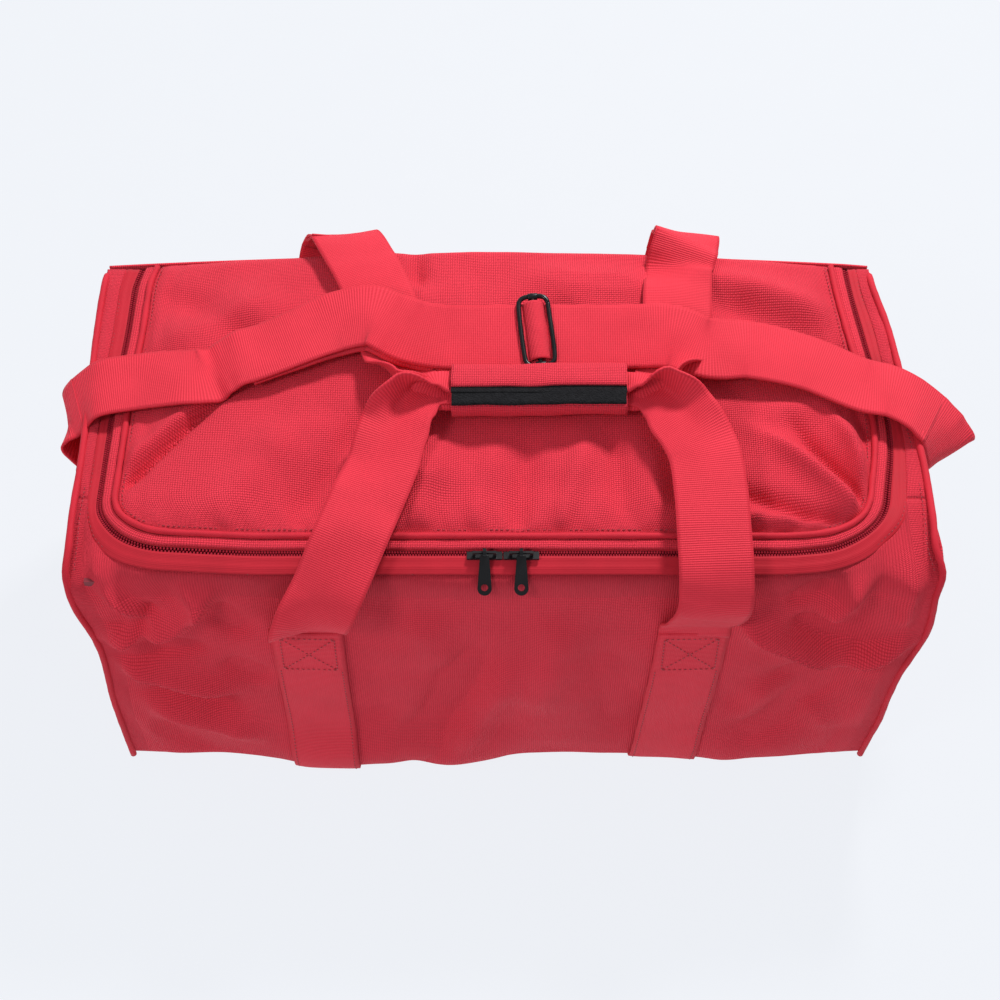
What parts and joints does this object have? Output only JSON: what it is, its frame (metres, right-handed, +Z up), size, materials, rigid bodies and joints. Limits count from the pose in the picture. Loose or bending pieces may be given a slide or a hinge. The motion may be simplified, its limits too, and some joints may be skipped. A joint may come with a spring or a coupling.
{
  "type": "hockey equipment bag",
  "caption": "Red polyester equipment bag with a U-zip lid, two webbing handles joined by a padded grip, and a shoulder strap on swivel hooks.",
  "frame": {"origin": "middle of the base of the bag, on its outer face", "axes": "+X along the bag to its right end, +Y to the back, where the lid hinges, +Z up"},
  "size_m": [0.6523, 0.3258, 0.3003],
  "materials": {
    "cloth": "600-denier polyester weave, slight sheen",
    "webbing": "ribbed polypropylene webbing",
    "piping": "cloth-covered cord piping",
    "zip_tape": "woven zip tape",
    "zip_coil": "nylon coil",
    "binding": "binding tape",
    "board": "stiff board",
    "black_metal": "black enamel, glossy",
    "hook_tape": "hook-and-loop tape"
  },
  "bodies": {
    "bag": {"front_panel": "cloth", "back_panel": "cloth", "base_panel": "cloth", "base_board": "board", "end_panel_left": "cloth", "end_panel_right": "cloth", "top_gusset_left": "cloth", "top_gusset_right": "cloth", "rim_piping_left": "piping", "rim_piping_right": "piping", "seam_binding_left": "binding", "seam_binding_right": "binding", "zip_tape_body": "zip_tape", "zip_coil_body": "zip_coil", "zip_end_tab_left": "cloth", "zip_end_tab_right": "cloth", "front_belt_left": "webbing", "front_belt_right": "webbing", "base_belt_left": "webbing", "base_belt_right": "webbing", "back_belt_left": "webbing", "back_belt_right": "webbing", "d_ring_tab_left": "webbing", "d_ring_tab_right": "webbing", "swivel_eye_left": "black_metal", "swivel_eye_right": "black_metal"},
    "lid": {"lid_panel": "cloth", "lid_piping": "piping", "lid_welt": "cloth", "zip_tape_lid": "zip_tape", "zip_coil_lid": "zip_coil"},
    "slider_left_body": {"slider_left": "black_metal"},
    "slider_right_body": {"slider_right": "black_metal"},
    "pull_left_body": {"pull_left": "black_metal"},
    "pull_right_body": {"pull_right": "black_metal"},
    "front_handle_body": {"front_handle": "webbing"},
    "back_handle_body": {"back_handle": "webbing", "grip_wrap": "cloth", "grip_loop_tape": "hook_tape"},
    "grip_flap_body": {"grip_flap": "cloth", "grip_hook_tape": "hook_tape"},
    "strap": {"strap_main": "webbing", "strap_return": "webbing", "strap_end_left": "webbing", "strap_end_right": "webbing"},
    "adjuster": {"adjuster_frame": "black_metal", "adjuster_bar": "black_metal", "adjuster_sleeve": "webbing"},
    "hook_left_body": {"hook_left": "black_metal"},
    "hook_right_body": {"hook_right": "black_metal"},
    "gate_left_body": {"gate_left": "black_metal"},
    "gate_right_body": {"gate_right": "black_metal"},
    "d_ring_left_body": {"d_ring_left": "black_metal"},
    "d_ring_right_body": {"d_ring_right": "black_metal"}
  },
  "joints": [
    {"name": "lid_hinge", "type": "hinge", "parent": "bag", "child": "lid", "pos_m": [0, 0.157, 0.254], "axis": [-1, 0, 0], "range_deg": [0, 110]},
    {"name": "slider_left_slide", "type": "slide", "parent": "bag", "child": "slider_left_body", "axis": [-1, 0, 0], "range_m": [0, 0.18]},
    {"name": "slider_right_slide", "type": "slide", "parent": "bag", "child": "slider_right_body", "axis": [1, 0, 0], "range_m": [0, 0.18]},
    {"name": "pull_left_swing", "type": "hinge", "parent": "slider_left_body", "child": "pull_left_body", "pos_m": [-0.0104, -0.118, 0.2578], "axis": [-1, 0, 0], "range_deg": [0, 160]},
    {"name": "pull_right_swing", "type": "hinge", "parent": "slider_right_body", "child": "pull_right_body", "pos_m": [0.0144, -0.118, 0.2578], "axis": [-1, 0, 0], "range_deg": [0, 160]},
    {"name": "front_handle_swing", "type": "hinge", "parent": "bag", "child": "front_handle_body", "pos_m": [0, -0.15, 0.2], "axis": [1, 0, 0], "range_deg": [0, 154], "deforming": ["front_handle"]},
    {"name": "back_handle_swing", "type": "hinge", "parent": "lid", "child": "back_handle_body", "pos_m": [0, 0.157, 0.254], "axis": [-1, 0, 0], "range_deg": [0, 100], "deforming": ["back_handle"]},
    {"name": "grip_flap_swing", "type": "hinge", "parent": "back_handle_body", "child": "grip_flap_body", "pos_m": [0, 0.0155, 0.293], "axis": [-1, 0, 0], "range_deg": [0, 90]},
    {"name": "strap_swing", "type": "hinge", "parent": "bag", "child": "strap", "pos_m": [0, 0.157, 0.254], "axis": [-1, 0, 0], "range_deg": [0, 110], "deforming": ["strap_end_left", "strap_end_right"]},
    {"name": "adjuster_slide", "type": "slide", "parent": "strap", "child": "adjuster", "axis": [1, 0, 0], "range_m": [-0.015, 0.06]},
    {"name": "d_ring_left_swing", "type": "hinge", "parent": "bag", "child": "d_ring_left_body", "pos_m": [-0.297, 0.004, 0.152], "axis": [0, -1, 0], "range_deg": [0, 5]},
    {"name": "hook_left_swivel", "type": "hinge", "parent": "bag", "child": "hook_left_body", "pos_m": [-0.303, 0.004, 0.2], "axis": [0, 0, 1], "range_deg": [-20, 20]},
    {"name": "gate_left_swing", "type": "hinge", "parent": "hook_left_body", "child": "gate_left_body", "pos_m": [-0.3113, 0.004, 0.1939], "axis": [0, -1, 0], "range_deg": [0, 22], "stiffness_Nm_per_rad": 0.004},
    {"name": "d_ring_right_swing", "type": "hinge", "parent": "bag", "child": "d_ring_right_body", "pos_m": [0.297, 0.004, 0.152], "axis": [0, 1, 0], "range_deg": [0, 5]},
    {"name": "hook_right_swivel", "type": "hinge", "parent": "bag", "child": "hook_right_body", "pos_m": [0.303, 0.004, 0.2], "axis": [0, 0, 1], "range_deg": [-20, 20]},
    {"name": "gate_right_swing", "type": "hinge", "parent": "hook_right_body", "child": "gate_right_body", "pos_m": [0.3113, 0.004, 0.1939], "axis": [0, 1, 0], "range_deg": [0, 22], "stiffness_Nm_per_rad": 0.004}
  ],
  "couplings": [
    {"joint": "strap_swing", "follows": "lid_hinge", "ratio": 1},
    {"joint": "front_handle_swing", "follows": "lid_hinge", "ratio": 1.4}
  ]
}
